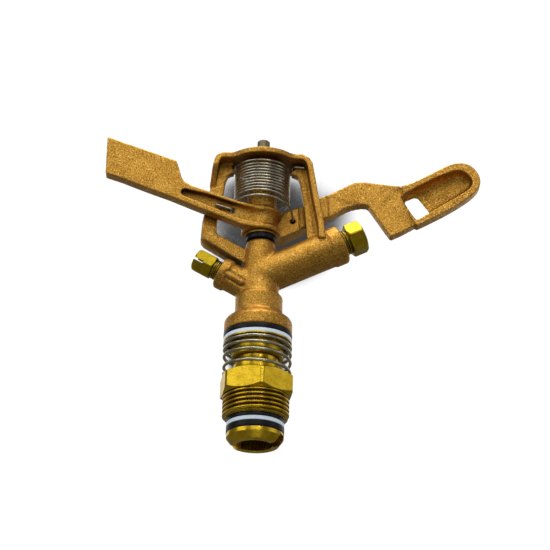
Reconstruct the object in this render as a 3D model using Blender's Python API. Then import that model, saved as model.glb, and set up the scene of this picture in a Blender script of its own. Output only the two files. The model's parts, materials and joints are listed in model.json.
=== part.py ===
"""Two-nozzle impact sprinkler, standing upright on its inlet thread.

The Z axis is the swivel axis of the head and the pivot axis of the drive arm.
The origin is on that axis, at the lower face of the inlet hexagon.
The range nozzle points towards +X and the counterweight towards -X.
Lengths below are in millimetres and are scaled to metres as meshes are made.
"""

import math

import bmesh
import bpy
from mathutils import Matrix, Vector

MM = 0.001

# Gap between pieces that touch on the real object.
GAP = 0.3

# Points closer than this after a Boolean are one point.
WELD = 0.002

# Inlet nipple: a male G 3/4 thread below a hexagon.
THREAD_R = 13.22
THREAD_PITCH = 1.814
THREAD_DEPTH = 1.16
THREAD_BOTTOM = -9.4
HEX_ACROSS_FLATS = 27.0
HEX_CORNER_R = 15.1
HEX_HEIGHT = 9.0
HEX_TURN = 8.7
NIPPLE_BORE_R = 8.9
NIPPLE_SLEEVE_R = 9.4
NIPPLE_SLEEVE_TOP = 13.0

# Tube that hangs from the body and turns inside the nipple.
TUBE_R = 8.6
TUBE_BORE_R = 7.0
TUBE_TOP = 33.6
TUBE_BOTTOM = -20.1
TUBE_FLANGE_R = 11.3
TUBE_FLANGE_TOP = -15.4
TUBE_SLOT_WIDTH = 5.0
TUBE_SLOT_DEPTH = 3.9
TUBE_SLOT_TURN = -18.0

# Washers below the nipple, from top to bottom: (top, bottom).
LOWER_WASHERS = ((-9.7, -10.95), (-11.25, -12.55), (-12.85, -15.1))
LOWER_WASHER_R = 11.45

# Spring and washers above the hexagon.
SPRING_R = 13.15
SPRING_WIRE_R = 0.62
THRUST_R = 13.6
THRUST_BOTTOM = 22.6
THRUST_TOP = 23.1
THRUST_SLEEVE_R = 10.3
THRUST_SLEEVE_BOTTOM = 16.0
UPPER_PTFE = (23.4, 24.55)
UPPER_RUBBER = (24.85, 26.45)

# Body casting.
SKIRT_R = 13.6
SKIRT_BOTTOM = 26.75
BASE_R = 9.5
BASE_TOP = 42.4
NECK_TOP = 67.1
NECK_TOP_R = 5.9
WATERWAY_R = 6.0

# Range tube and nozzle: the axis starts on the Z axis and rises to the right.
RANGE_START = (0.0, 51.4)
RANGE_ANGLE = 25.8
RANGE_R = 7.5
RANGE_COLLAR_R = 8.0
RANGE_COLLAR = (31.2, 36.8)
RANGE_NECK_R = 5.2
RANGE_HEX_FLATS = 12.2
RANGE_HEX = (39.4, 46.0)
RANGE_HEX_TURN = 30.0
RANGE_ORIFICE_R = 2.2

# Spreader tube and nozzle: the axis rises to the left.
SPREAD_START = (0.0, 44.9)
SPREAD_ANGLE = 28.5
SPREAD_R = 5.9
SPREAD_COLLAR_R = 6.6
SPREAD_COLLAR = (14.2, 18.15)
SPREAD_NECK_R = 4.1
SPREAD_HEX_FLATS = 8.8
SPREAD_HEX = (21.1, 29.6)
SPREAD_HEX_TURN = -106.0
SPREAD_BORE_R = 2.6
SPREAD_SLOT_START = 25.3
SPREAD_SLOT_WIDTH = 1.0

# Frame that carries the pivot pin over the arm.
WEB_HALF = 2.0
FLANGE_DEPTH = 8.0
REAR_FLANGE_DEPTH = 6.0
BRIDGE_UNDER = 101.7
BRIDGE_TOP = 103.9
PAD_R = 14.0
BOSS_R = 7.6
BOSS_BOTTOM = 97.2
HOOK_Z = 100.3
HOOK_LEFT_X = -11.6
HOOK_RIGHT_X = 12.4
HOOK_R = 0.95

# Pivot pin and what turns on it.
PIN_R = 2.6
PIN_BOTTOM = 59.5
PIN_TOP = 113.1
HUB_WASHER_TOP = 69.1
HUB_R = 8.1
HUB_WAIST_R = 6.9
HUB_BOTTOM = 70.3
HUB_TOP = 80.2
SLEEVE_R = 6.0
SLEEVE_TOP = 95.4
BUSH_R = 4.2
BUSH_LENGTH = 7.5

# Arm: the left half lies in front of the frame and the right half behind it.
LEFT_FRONT = -8.2
LEFT_BACK = -2.75
CHANNEL_FLOOR = -5.3
RIGHT_FRONT = 3.1
STOP_FRONT = 2.35
ROOT_BACK = 11.6
BLADE_THICK = 5.0
SPOON_SHIFT = -2.4
BLADE_DROP = 0.35
SPOON_THICK = 5.3
RIM_STEP = 0.45
ARM_HOLE_R = 1.05
ARM_HOLE_RIGHT = (12.8, 78.5)
ARM_HOLE_LEFT = (-11.7, 78.7)

# Return spring of the arm.
COIL_R = 11.0
COIL_WIRE_R = 0.44
COIL_PITCH = 1.3
COIL_TURNS = 10
COIL_TOP = 99.35
COIL_TOP_GAP = 0.4
COIL_SPACE = 11.85

# Looks of the materials: colour, metallic, roughness.
BRONZE = ((0.50, 0.30, 0.10), 0.9, 0.42)
NIPPLE_BRASS = ((0.72, 0.56, 0.12), 1.0, 0.25)
BEARING_BRASS = ((0.74, 0.58, 0.12), 1.0, 0.25)
NOZZLE_BRASS = ((0.70, 0.58, 0.10), 1.0, 0.28)
SPRING_STEEL = ((0.48, 0.46, 0.42), 1.0, 0.30)
PIN_STEEL = ((0.42, 0.40, 0.38), 1.0, 0.35)
WHITE_PTFE = ((0.80, 0.86, 0.94), 0.0, 0.40)
BLACK_RUBBER = ((0.02, 0.02, 0.025), 0.0, 0.60)

# Turned pieces have this many sides, and none of their corners lies on a main plane.
SEGMENTS = 32
START_TURN = 0.0173


def clear_scene():
    for item in list(bpy.data.objects):
        bpy.data.objects.remove(item, do_unlink=True)


def make_material(name, look):
    """Gives a piece its own material from a (colour, metallic, roughness) look."""
    colour, metallic, roughness = look
    material = bpy.data.materials.new(name)
    material.use_nodes = True
    shader = material.node_tree.nodes["Principled BSDF"]
    shader.inputs["Base Color"].default_value = (*colour, 1.0)
    shader.inputs["Metallic"].default_value = metallic
    shader.inputs["Roughness"].default_value = roughness
    return material


def object_from(bm, name):
    """Turns a bmesh into a linked object; pieces are scaled to metres when finished."""
    bmesh.ops.recalc_face_normals(bm, faces=bm.faces)
    mesh = bpy.data.meshes.new(name)
    bm.to_mesh(mesh)
    bm.free()
    item = bpy.data.objects.new(name, mesh)
    bpy.context.scene.collection.objects.link(item)
    return item


def lathe(name, profile, segments=SEGMENTS):
    """Turns an outline of (radius, height) points about the Z axis.

    A closed outline makes a ring. One that starts and ends on the axis makes a
    solid, whose two ends are flat caps at the first and last points off the axis.
    """
    solid = profile[0][0] < 1e-6
    points = profile[1:-1] if solid else profile
    bm = bmesh.new()
    rings = []
    for radius, height in points:
        ring = []
        for step in range(segments):
            turn = START_TURN + 2.0 * math.pi * step / segments
            ring.append(bm.verts.new((radius * math.cos(turn), radius * math.sin(turn), height)))
        rings.append(ring)
    pairs = list(zip(rings, rings[1:]))
    if solid:
        bm.faces.new(rings[0])
        bm.faces.new(list(reversed(rings[-1])))
    else:
        pairs.append((rings[-1], rings[0]))
    for ring, following in pairs:
        for step in range(segments):
            after = (step + 1) % segments
            bm.faces.new((ring[step], following[step], following[after], ring[after]))
    return object_from(bm, name)


def prism(name, outline, low, high, axis="Y"):
    """Extrudes an outline of two coordinates between two planes across the given axis."""
    bm = bmesh.new()
    ends = []
    for level in (low, high):
        if axis == "Y":
            ends.append([bm.verts.new((a, level, b)) for a, b in outline])
        else:
            ends.append([bm.verts.new((a, b, level)) for a, b in outline])
    bm.faces.new(ends[0])
    bm.faces.new(list(reversed(ends[1])))
    count = len(outline)
    for index in range(count):
        after = (index + 1) % count
        bm.faces.new((ends[0][index], ends[1][index], ends[1][after], ends[0][after]))
    return object_from(bm, name)


def loft(name, layers):
    """Skins a stack of point loops with equal counts and caps both ends."""
    bm = bmesh.new()
    rings = [[bm.verts.new(point) for point in layer] for layer in layers]
    bm.faces.new(rings[0])
    bm.faces.new(list(reversed(rings[-1])))
    count = len(rings[0])
    for ring, following in zip(rings, rings[1:]):
        for index in range(count):
            after = (index + 1) % count
            bm.faces.new((ring[index], following[index], following[after], ring[after]))
    return object_from(bm, name)


def rounded(outline, passes=2):
    """Cuts the corners of a closed outline again and again."""
    for _ in range(passes):
        cut = []
        for index, start in enumerate(outline):
            end = outline[(index + 1) % len(outline)]
            cut.append((0.75 * start[0] + 0.25 * end[0], 0.75 * start[1] + 0.25 * end[1]))
            cut.append((0.25 * start[0] + 0.75 * end[0], 0.25 * start[1] + 0.75 * end[1]))
        outline = cut
    return outline


def chamfered(outline, size):
    """Cuts each corner of a closed outline back by the same length."""
    cut_points = []
    for index, corner in enumerate(outline):
        corner = Vector(corner)
        for other in (outline[index - 1], outline[(index + 1) % len(outline)]):
            way = (Vector(other) - corner).normalized()
            cut_points.append(tuple(corner + size * way))
    return cut_points


def smooth_path(points, steps):
    """Catmull-Rom curve through an open list of points."""
    padded = [points[0]] + list(points) + [points[-1]]
    path = []
    for index in range(1, len(padded) - 2):
        before, start, end, beyond = (Vector(p) for p in padded[index - 1 : index + 3])
        for step in range(steps):
            t = step / steps
            curve = 2.0 * start + (end - before) * t
            curve += (2.0 * before - 5.0 * start + 4.0 * end - beyond) * t * t
            curve += (3.0 * start - before - 3.0 * end + beyond) * t * t * t
            path.append(0.5 * curve)
    path.append(Vector(points[-1]))
    return path


def sweep(name, path, radius, sides):
    """Sweeps a circle along a path, carrying its frame from point to point."""
    path = [Vector(point) for point in path]
    tangents = []
    for index in range(len(path)):
        before = path[max(index - 1, 0)]
        after = path[min(index + 1, len(path) - 1)]
        tangents.append((after - before).normalized())
    normal = tangents[0].orthogonal().normalized()
    bm = bmesh.new()
    rings = []
    for index, point in enumerate(path):
        tangent = tangents[index]
        normal = (normal - tangent * normal.dot(tangent)).normalized()
        side = tangent.cross(normal)
        ring = []
        for step in range(sides):
            turn = 2.0 * math.pi * step / sides
            offset = normal * math.cos(turn) + side * math.sin(turn)
            ring.append(bm.verts.new(point + radius * offset))
        rings.append(ring)
    bm.faces.new(rings[0])
    bm.faces.new(list(reversed(rings[-1])))
    for ring, following in zip(rings, rings[1:]):
        for step in range(sides):
            after = (step + 1) % sides
            bm.faces.new((ring[step], following[step], following[after], ring[after]))
    return object_from(bm, name)


def lay_along(item, start, angle, side):
    """Turns a piece made about +Z so that it lies along a tube's axis."""
    turn = math.radians(90.0 - angle)
    matrix = Matrix.Translation(Vector((start[0], 0.0, start[1])))
    item.data.transform(matrix @ Matrix.Rotation(side * turn, 4, "Y"))
    return item


def combine(item, tool, operation):
    """Applies an exact Boolean and removes the tool."""
    modifier = item.modifiers.new("cut", "BOOLEAN")
    modifier.operation = operation
    modifier.solver = "EXACT"
    modifier.object = tool
    bpy.context.view_layer.update()
    graph = bpy.context.evaluated_depsgraph_get()
    mesh = bpy.data.meshes.new_from_object(item.evaluated_get(graph))
    item.modifiers.remove(modifier)
    bm = bmesh.new()
    bm.from_mesh(mesh)
    bmesh.ops.remove_doubles(bm, verts=bm.verts, dist=WELD)
    bmesh.ops.dissolve_degenerate(bm, dist=WELD, edges=bm.edges)
    bm.to_mesh(mesh)
    bm.free()
    item.data = mesh
    bpy.data.objects.remove(tool, do_unlink=True)


def add(item, tool):
    combine(item, tool, "UNION")


def cut(item, tool):
    combine(item, tool, "DIFFERENCE")


def ring(name, inner, outer, bottom, top, chamfer=0.0, segments=SEGMENTS):
    """Washer or bush, with small chamfers on its outer edges."""
    profile = [(inner, bottom), (outer - chamfer, bottom)]
    if chamfer > 0.0:
        profile += [(outer, bottom + chamfer), (outer, top - chamfer)]
    profile += [(outer - chamfer, top), (inner, top)]
    return lathe(name, profile, segments)


def hex_prism(name, flats, low, high, turn, chamfer, corner):
    """Hexagonal bar along Z with its corners turned down at both ends."""
    radius = flats / math.sqrt(3.0)
    outline = []
    for index in range(6):
        angle = math.radians(turn + 60.0 * index)
        outline.append((radius * math.cos(angle), radius * math.sin(angle)))
    item = prism(name, outline, low, high, axis="Z")
    lathe_profile = [
        (0.0, low - 1.0),
        (corner - chamfer, low - 1.0),
        (corner - chamfer, low + 0.05),
        (corner, low + 0.6 * chamfer),
        (corner, high - 0.6 * chamfer),
        (corner - chamfer, high - 0.05),
        (corner - chamfer, high + 1.0),
        (0.0, high + 1.0),
    ]
    combine(item, lathe("hex_turning", lathe_profile), "INTERSECT")
    return item


def finish(item, name, look, parent=None, sharp=32.0):
    """Names a finished piece, gives it its own material, shades it and hangs it on its joint."""
    item.name = name
    item.data.name = name
    item.data.transform(Matrix.Scale(MM, 4))
    item.data.materials.clear()
    item.data.materials.append(make_material(name, look))
    item.data.shade_smooth()
    item.data.set_sharp_from_angle(angle=math.radians(sharp))
    if parent is not None:
        item.parent = parent
    return item


def build_nipple():
    profile = [(NIPPLE_BORE_R, THREAD_BOTTOM), (THREAD_R - 1.6, THREAD_BOTTOM)]
    ridges = 5
    root = THREAD_R - THREAD_DEPTH
    for ridge in range(ridges):
        crest = THREAD_BOTTOM + 0.95 + THREAD_PITCH * ridge
        profile.append((root, crest - 0.72))
        profile.append((THREAD_R, crest - 0.16))
        profile.append((THREAD_R, crest + 0.16))
    profile.append((root, 0.0))
    profile.append((root, 2.0))
    profile.append((NIPPLE_SLEEVE_R, 2.0))
    profile.append((NIPPLE_SLEEVE_R, NIPPLE_SLEEVE_TOP - 0.5))
    profile.append((NIPPLE_SLEEVE_R - 0.4, NIPPLE_SLEEVE_TOP))
    profile.append((NIPPLE_BORE_R, NIPPLE_SLEEVE_TOP))
    nipple = lathe("nipple", profile)
    turn = HEX_TURN - 90.0
    hexagon = hex_prism("hexagon", HEX_ACROSS_FLATS, 0.0, HEX_HEIGHT, turn, 1.9, HEX_CORNER_R)
    inside = NIPPLE_BORE_R + 0.2
    bore = [(0.0, -1.0), (inside, -1.0), (inside, HEX_HEIGHT + 1.0), (0.0, HEX_HEIGHT + 1.0)]
    cut(hexagon, lathe("hexagon_bore", bore))
    add(nipple, hexagon)
    return nipple


def build_bearing_tube():
    profile = [
        (TUBE_BORE_R, TUBE_BOTTOM),
        (TUBE_R - 0.5, TUBE_BOTTOM),
        (TUBE_R + 0.9, TUBE_BOTTOM + 0.4),
        (TUBE_FLANGE_R, TUBE_BOTTOM + 2.9),
        (TUBE_FLANGE_R, TUBE_FLANGE_TOP - 0.2),
        (TUBE_FLANGE_R - 0.2, TUBE_FLANGE_TOP),
        (TUBE_R, TUBE_FLANGE_TOP),
        (TUBE_R, TUBE_TOP - 0.6),
        (TUBE_R - 0.6, TUBE_TOP),
        (TUBE_BORE_R, TUBE_TOP),
    ]
    tube = lathe("tube", profile)
    half = TUBE_SLOT_WIDTH / 2.0
    corners = [(-14.0, -half), (14.0, -half), (14.0, half), (-14.0, half)]
    slot = prism("slot", corners, TUBE_BOTTOM - 2.0, TUBE_BOTTOM + TUBE_SLOT_DEPTH, axis="Z")
    slot.data.transform(Matrix.Rotation(math.radians(TUBE_SLOT_TURN), 4, "Z"))
    cut(tube, slot)
    return tube


def build_bearing_spring():
    """Left-hand coil: open at the bottom and closed under the thrust washer."""
    top = THRUST_BOTTOM - GAP - SPRING_WIRE_R
    bottom = HEX_HEIGHT + GAP + SPRING_WIRE_R
    knots = [(-0.75, top), (0.0, top - 0.12), (1.0, 19.0), (2.0, 15.9)]
    knots += [(3.0, 11.2), (3.4, 10.15), (3.75, bottom)]
    path = []
    steps = 18
    total = int((knots[-1][0] - knots[0][0]) * steps)
    for step in range(total + 1):
        turns = knots[0][0] + step / steps
        for start, end in zip(knots, knots[1:]):
            if start[0] <= turns <= end[0] + 1e-9:
                share = (turns - start[0]) / (end[0] - start[0])
                height = start[1] + (end[1] - start[1]) * share
                break
        angle = math.radians(270.0) + 2.0 * math.pi * turns
        path.append((SPRING_R * math.cos(angle), SPRING_R * math.sin(angle), height))
    return sweep("bearing_spring", path, SPRING_WIRE_R, 5)


def build_thrust_washer():
    profile = [
        (TUBE_R + GAP, THRUST_SLEEVE_BOTTOM),
        (THRUST_SLEEVE_R - 0.4, THRUST_SLEEVE_BOTTOM),
        (THRUST_SLEEVE_R, THRUST_SLEEVE_BOTTOM + 0.4),
        (THRUST_SLEEVE_R, THRUST_BOTTOM),
        (THRUST_R, THRUST_BOTTOM),
        (THRUST_R, THRUST_TOP),
        (TUBE_R + GAP, THRUST_TOP),
    ]
    return lathe("thrust", profile)


def frame_outline():
    """Outer edge of the flat web, closed through the neck and the range tube."""
    left = [(-7.0, 57.4), (-11.3, 60.0), (-22.9, 67.3), (-24.0, 68.8), (-23.7, 76.2), (-21.4, 88.8)]
    left += [(-20.3, 97.0), (-19.4, 101.2), (-17.3, 103.3)]
    right = [(16.6, 103.2), (18.5, 102.0), (19.8, 100.0), (22.6, 85.2), (25.0, 73.3), (25.6, 66.4)]
    foot = [(24.0, 61.5), (10.0, 53.5), (-3.0, 52.0)]
    return left + right + foot


def window_outline():
    """Opening of the web; its lower right side ends inside the range tube."""
    left = [(-6.0, 63.2), (-17.4, 69.6), (-18.1, 70.6), (-18.0, 75.0), (-15.9, 87.2)]
    left += [(-15.2, 93.5), (-14.3, 96.3), (-12.9, 97.2), (-COIL_SPACE, 97.3)]
    left += [(-COIL_SPACE, BRIDGE_UNDER + 0.6)]
    right = [(COIL_SPACE, BRIDGE_UNDER + 0.6), (COIL_SPACE, 97.3), (12.9, 97.2), (14.6, 96.3), (15.3, 94.4)]
    right += [(17.2, 84.0), (18.4, 73.1), (19.0, 66.0)]
    foot = [(10.0, 60.0), (0.0, 58.5)]
    return left + right + foot


def front_flange_outline():
    outer = [(-21.6, 90.4), (-20.7, 96.6), (-19.9, 100.7), (-18.9, 102.8), (-17.0, 103.8)]
    outer += [(16.6, 103.8), (18.9, 102.4), (20.3, 100.2), (23.0, 85.2), (25.4, 73.3), (26.0, 66.6)]
    inner = [(23.4, 66.6), (23.0, 73.1), (20.6, 85.4), (18.2, 99.0), (17.3, 100.7), (15.9, 101.8)]
    inner += [(-16.0, 101.8), (-17.3, 100.9), (-17.8, 99.6), (-18.6, 96.0), (-19.3, 90.4)]
    return outer + inner


def rear_flange_outline():
    outer = [(21.6, 90.4), (20.7, 96.6), (20.0, 100.3), (18.7, 102.5), (16.6, 103.8)]
    outer += [(-17.0, 103.8), (-19.2, 102.8), (-20.3, 100.7), (-21.8, 88.8), (-24.1, 76.2)]
    outer += [(-24.6, 68.2), (-23.4, 66.6), (-11.3, 59.4), (-5.0, 55.9)]
    inner = [(-4.0, 58.5), (-10.3, 61.9), (-21.6, 68.6), (-22.1, 69.8), (-21.6, 76.2), (-19.3, 88.8)]
    inner += [(-18.0, 99.6), (-17.2, 101.0), (-16.0, 101.8), (15.9, 101.8), (17.2, 100.8)]
    inner += [(17.9, 99.5), (18.4, 96.0), (19.2, 90.4)]
    return outer + inner


def bridge_outline():
    """Plan of the bridge: straight edges that swell into a round pad over the spring."""
    edge = 8.0
    points = []
    for index in range(21):
        x = -16.0 + 1.6 * index
        inside = max(0.0, PAD_R * PAD_R - x * x)
        pad = math.sqrt(inside)
        swell = math.log(math.exp(pad / 0.9) + math.exp(edge / 0.9)) * 0.9
        points.append((x, -swell))
    points[0] = (points[0][0], -edge + 0.05)
    points[-1] = (points[-1][0], -edge + 0.05)
    back = [(-x, -y) for x, y in points]
    return points + back


def build_body():
    column = [
        (0.0, SKIRT_BOTTOM),
        (SKIRT_R - 0.4, SKIRT_BOTTOM),
        (SKIRT_R, SKIRT_BOTTOM + 0.4),
        (SKIRT_R, 31.4),
        (SKIRT_R - 0.7, 32.6),
        (10.3, 34.6),
        (BASE_R, 35.6),
        (BASE_R, BASE_TOP),
        (BASE_R - 0.5, BASE_TOP + 0.6),
        (8.0, 43.6),
        (7.4, 48.0),
        (6.9, 53.0),
        (6.5, 59.0),
        (NECK_TOP_R + 0.3, 63.5),
        (NECK_TOP_R, 65.8),
        (NECK_TOP_R - 0.6, NECK_TOP - 0.35),
        (NECK_TOP_R - 1.5, NECK_TOP),
        (0.0, NECK_TOP),
    ]
    body = lathe("body", column)

    web = prism("web", frame_outline(), -WEB_HALF, WEB_HALF)
    cut(web, prism("window", window_outline(), -WEB_HALF - 2.0, WEB_HALF + 2.0))
    add(web, prism("front_flange", front_flange_outline(), -FLANGE_DEPTH, -WEB_HALF + 0.6))
    add(web, prism("rear_flange", rear_flange_outline(), WEB_HALF - 0.6, REAR_FLANGE_DEPTH))
    add(web, prism("bridge", bridge_outline(), BRIDGE_UNDER, BRIDGE_TOP, axis="Z"))
    boss = [
        (0.0, BOSS_BOTTOM),
        (BOSS_R - 0.4, BOSS_BOTTOM),
        (BOSS_R, BOSS_BOTTOM + 0.4),
        (BOSS_R, BRIDGE_UNDER + 0.8),
        (0.0, BRIDGE_UNDER + 0.8),
    ]
    add(web, lathe("lower_boss", boss, 24))
    crown = [
        (0.0, BRIDGE_TOP - 0.8),
        (6.6, BRIDGE_TOP - 0.8),
        (6.2, BRIDGE_TOP + 0.5),
        (5.2, 106.9),
        (0.0, 106.9),
    ]
    add(web, lathe("upper_boss", crown, 24))
    add(body, web)

    dome = []
    for step in range(1, 7):
        turn = math.pi * step / 12.0
        dome.append((RANGE_R * math.sin(turn), 1.0 - RANGE_R * math.cos(turn)))
    range_tube = [
        (0.0, dome[0][1]),
        *dome,
        (RANGE_R, RANGE_COLLAR[0] - 0.3),
        (RANGE_COLLAR_R, RANGE_COLLAR[0] + 0.3),
        (RANGE_COLLAR_R, RANGE_COLLAR[1] - 0.7),
        (RANGE_COLLAR_R - 0.7, RANGE_COLLAR[1]),
        (0.0, RANGE_COLLAR[1]),
    ]
    add(body, lay_along(lathe("range_tube", range_tube, 32), RANGE_START, RANGE_ANGLE, 1))
    spread_tube = [
        (0.0, 0.5),
        (SPREAD_R, 0.5),
        (SPREAD_R, SPREAD_COLLAR[0] - 0.3),
        (SPREAD_COLLAR_R, SPREAD_COLLAR[0] + 0.3),
        (SPREAD_COLLAR_R, SPREAD_COLLAR[1] - 0.6),
        (SPREAD_COLLAR_R - 0.6, SPREAD_COLLAR[1]),
        (0.0, SPREAD_COLLAR[1]),
    ]
    add(body, lay_along(lathe("spread_tube", spread_tube, 28), SPREAD_START, SPREAD_ANGLE, -1))

    bore = [
        (0.0, SKIRT_BOTTOM - 2.0),
        (TUBE_R + GAP, SKIRT_BOTTOM - 2.0),
        (TUBE_R + GAP, TUBE_TOP + GAP),
        (WATERWAY_R, TUBE_TOP + 1.9),
        (WATERWAY_R, 50.0),
        (0.0, 53.0),
    ]
    cut(body, lathe("waterway", bore, 24))
    bore = [
        (0.0, 0.0),
        (4.4, 0.0),
        (4.4, RANGE_COLLAR[1] - 8.6),
        (RANGE_NECK_R + GAP, RANGE_COLLAR[1] - 8.4),
        (RANGE_NECK_R + GAP, RANGE_COLLAR[1] + 2.0),
        (0.0, RANGE_COLLAR[1] + 2.0),
    ]
    cut(body, lay_along(lathe("range_bore", bore, 20), RANGE_START, RANGE_ANGLE, 1))
    bore = [
        (0.0, 0.0),
        (3.0, 0.0),
        (3.0, SPREAD_COLLAR[1] - 7.2),
        (SPREAD_NECK_R + GAP, SPREAD_COLLAR[1] - 7.0),
        (SPREAD_NECK_R + GAP, SPREAD_COLLAR[1] + 2.0),
        (0.0, SPREAD_COLLAR[1] + 2.0),
    ]
    cut(body, lay_along(lathe("spread_bore", bore, 20), SPREAD_START, SPREAD_ANGLE, -1))
    for low, high in ((PIN_BOTTOM - GAP, 70.0), (90.0, 112.0)):
        hole = [(0.0, low), (PIN_R + GAP, low), (PIN_R + GAP, high), (0.0, high)]
        cut(body, lathe("pin_hole", hole, 16))
    for x in (HOOK_LEFT_X, HOOK_RIGHT_X):
        cut(body, round_hole((x, HOOK_Z), HOOK_R, -4.0, 4.0))
    return body


def round_hole(centre, radius, low, high):
    """Round cutter along Y between two depths."""
    outline = []
    for step in range(12):
        turn = 2.0 * math.pi * step / 12.0
        outline.append((centre[0] + radius * math.cos(turn), centre[1] + radius * math.sin(turn)))
    return prism("hole", outline, low, high)


def counterweight_outline():
    lower = [(-64.1, 109.4), (-64.0, 92.9), (-57.1, 90.6), (-45.5, 86.1), (-37.7, 83.3)]
    lower += [(-23.7, 77.6), (-16.7, 75.0), (-8.5, 71.6)]
    lower += [(-4.5, HUB_BOTTOM + 0.5), (0.9, HUB_BOTTOM + 0.3)]
    upper = [(0.9, HUB_TOP - 0.15), (-2.7, HUB_TOP + 0.1)]
    upper += [(-8.8, 81.5), (-15.4, 83.7), (-22.6, 86.2)]
    upper += [(-28.5, 88.1), (-31.5, 89.8), (-32.9, 91.8), (-34.3, 96.5), (-35.3, 99.2)]
    return lower + upper


def channel_outline():
    lower = [(-33.1, 85.5), (-32.6, 83.9), (-29.1, 82.4), (-16.8, 77.4), (-8.6, 73.7)]
    lower += [(2.0, 72.2), (4.0, 73.0)]
    upper = [(4.0, 77.0), (2.0, 77.8), (-4.7, 79.3), (-12.9, 81.5), (-21.5, 84.6)]
    upper += [(-29.3, 86.2), (-31.9, 86.9)]
    return lower + upper


def blade_shift(x):
    """How far the blade is set forward at a distance from the pivot."""
    share = min(max((x - 30.0) / 22.0, 0.0), 1.0)
    return SPOON_SHIFT * share * share * (3.0 - 2.0 * share)


def bend_blade(item):
    for vertex in item.data.vertices:
        shift = blade_shift(vertex.co.x)
        vertex.co.y += shift
        vertex.co.z += BLADE_DROP * shift
    return item


def blade_outline():
    upper = [(24.0, 89.2), (27.9, 91.4), (34.6, 95.1), (37.0, 96.5), (39.7, 97.2), (43.0, 97.2)]
    upper += [(46.0, 96.8), (50.0, 96.2), (54.0, 95.7), (58.0, 95.6), (61.0, 94.0)]
    lower = [(63.5, 78.8), (58.0, 75.3), (54.5, 73.5), (53.3, 72.8), (52.6, 73.1), (49.3, 77.9)]
    lower += [(45.7, 83.4), (43.9, 86.1), (42.6, 86.9), (40.5, 86.8), (36.9, 86.1), (34.8, 85.1)]
    lower += [(32.2, 83.5), (28.0, 80.8), (24.0, 79.0)]
    return upper + lower


def root_outline():
    upper = [(0.0, 79.0), (7.5, 80.2), (9.3, 82.6), (12.8, 83.9), (17.0, 85.7), (23.9, 89.3), (26.6, 90.6)]
    lower = [(27.0, 80.3), (25.6, 79.6), (18.5, 75.9), (12.5, 73.0), (9.7, 71.5), (7.5, 70.9), (0.0, 70.9)]
    return upper + lower


def stop_outline():
    return [(15.2, 84.6), (26.9, 90.6), (27.5, 81.0), (15.7, 75.0)]


def spoon_outline():
    upper = [(56.7, 94.8), (60.3, 95.5), (65.7, 98.4), (72.4, 102.4), (76.9, 104.9), (80.8, 106.1)]
    tip = [(84.8, 105.6), (87.9, 103.1), (89.6, 99.6), (89.8, 96.5), (88.1, 93.3), (84.9, 90.2)]
    lower = [(78.9, 85.8), (72.3, 81.7), (66.9, 78.6), (62.3, 76.3)]
    return upper + tip + lower


def cavity_outline():
    upper = [(56.6, 89.6), (57.6, 90.8), (67.9, 97.2), (76.9, 101.8), (80.5, 102.8), (83.6, 102.0)]
    lower = [(86.1, 99.3), (86.7, 96.6), (85.3, 94.2), (81.3, 91.2), (74.5, 86.7), (67.8, 82.2)]
    return upper + lower + [(64.2, 79.6), (63.0, 79.4)]


def shrink(outline, share):
    """Draws an outline in towards the long middle line of the scoop."""
    start = Vector((63.0, 86.6))
    end = Vector((80.0, 96.6))
    line = end - start
    drawn = []
    for point in outline:
        point = Vector(point)
        t = min(max((point - start).dot(line) / line.dot(line), 0.0), 1.0)
        centre = start + line * t
        drawn.append(tuple(centre + (point - centre) * share))
    return drawn


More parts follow.
